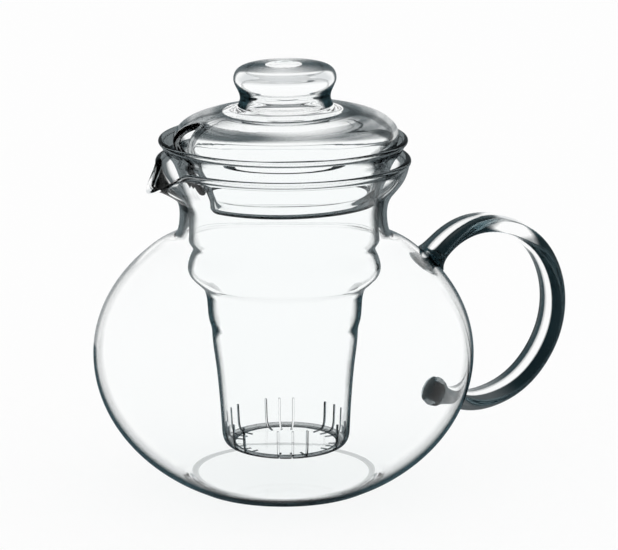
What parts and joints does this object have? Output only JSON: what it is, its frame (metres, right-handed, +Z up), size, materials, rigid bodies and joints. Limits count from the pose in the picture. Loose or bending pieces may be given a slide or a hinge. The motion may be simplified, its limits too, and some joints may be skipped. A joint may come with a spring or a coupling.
{
  "type": "teapot infuser",
  "caption": "Round clear glass teapot with a strap handle, a short pouring lip, a lift-out glass infuser with slits and a loose lid with a hollow knob and a steam notch.",
  "frame": {"origin": "centre of the flat resting base, on the table plane", "axes": "+Z up along the pot's axis, +X towards the handle, so the pouring lip is on -X"},
  "size_m": [0.1843, 0.14, 0.1575],
  "materials": {
    "pot_glass": "clear blown borosilicate glass, fire polished",
    "handle_glass": "clear drawn borosilicate glass strap, solid",
    "infuser_glass": "clear blown borosilicate glass with saw-cut slits",
    "lid_glass": "clear blown borosilicate glass, thick fire-polished edges"
  },
  "bodies": {
    "pot": {"pot_body": "pot_glass", "handle": "handle_glass"},
    "infuser": {"infuser": "infuser_glass"},
    "lid": {"lid": "lid_glass", "lid_knob": "lid_glass"}
  },
  "joints": [
    {"name": "infuser_lift", "type": "slide", "parent": "pot", "child": "infuser", "axis": [0, 0, 1], "range_m": [0, 0.115]},
    {"name": "lid_lift", "type": "slide", "parent": "infuser", "child": "lid", "axis": [0, 0, 1], "range_m": [0, 0.04]}
  ]
}
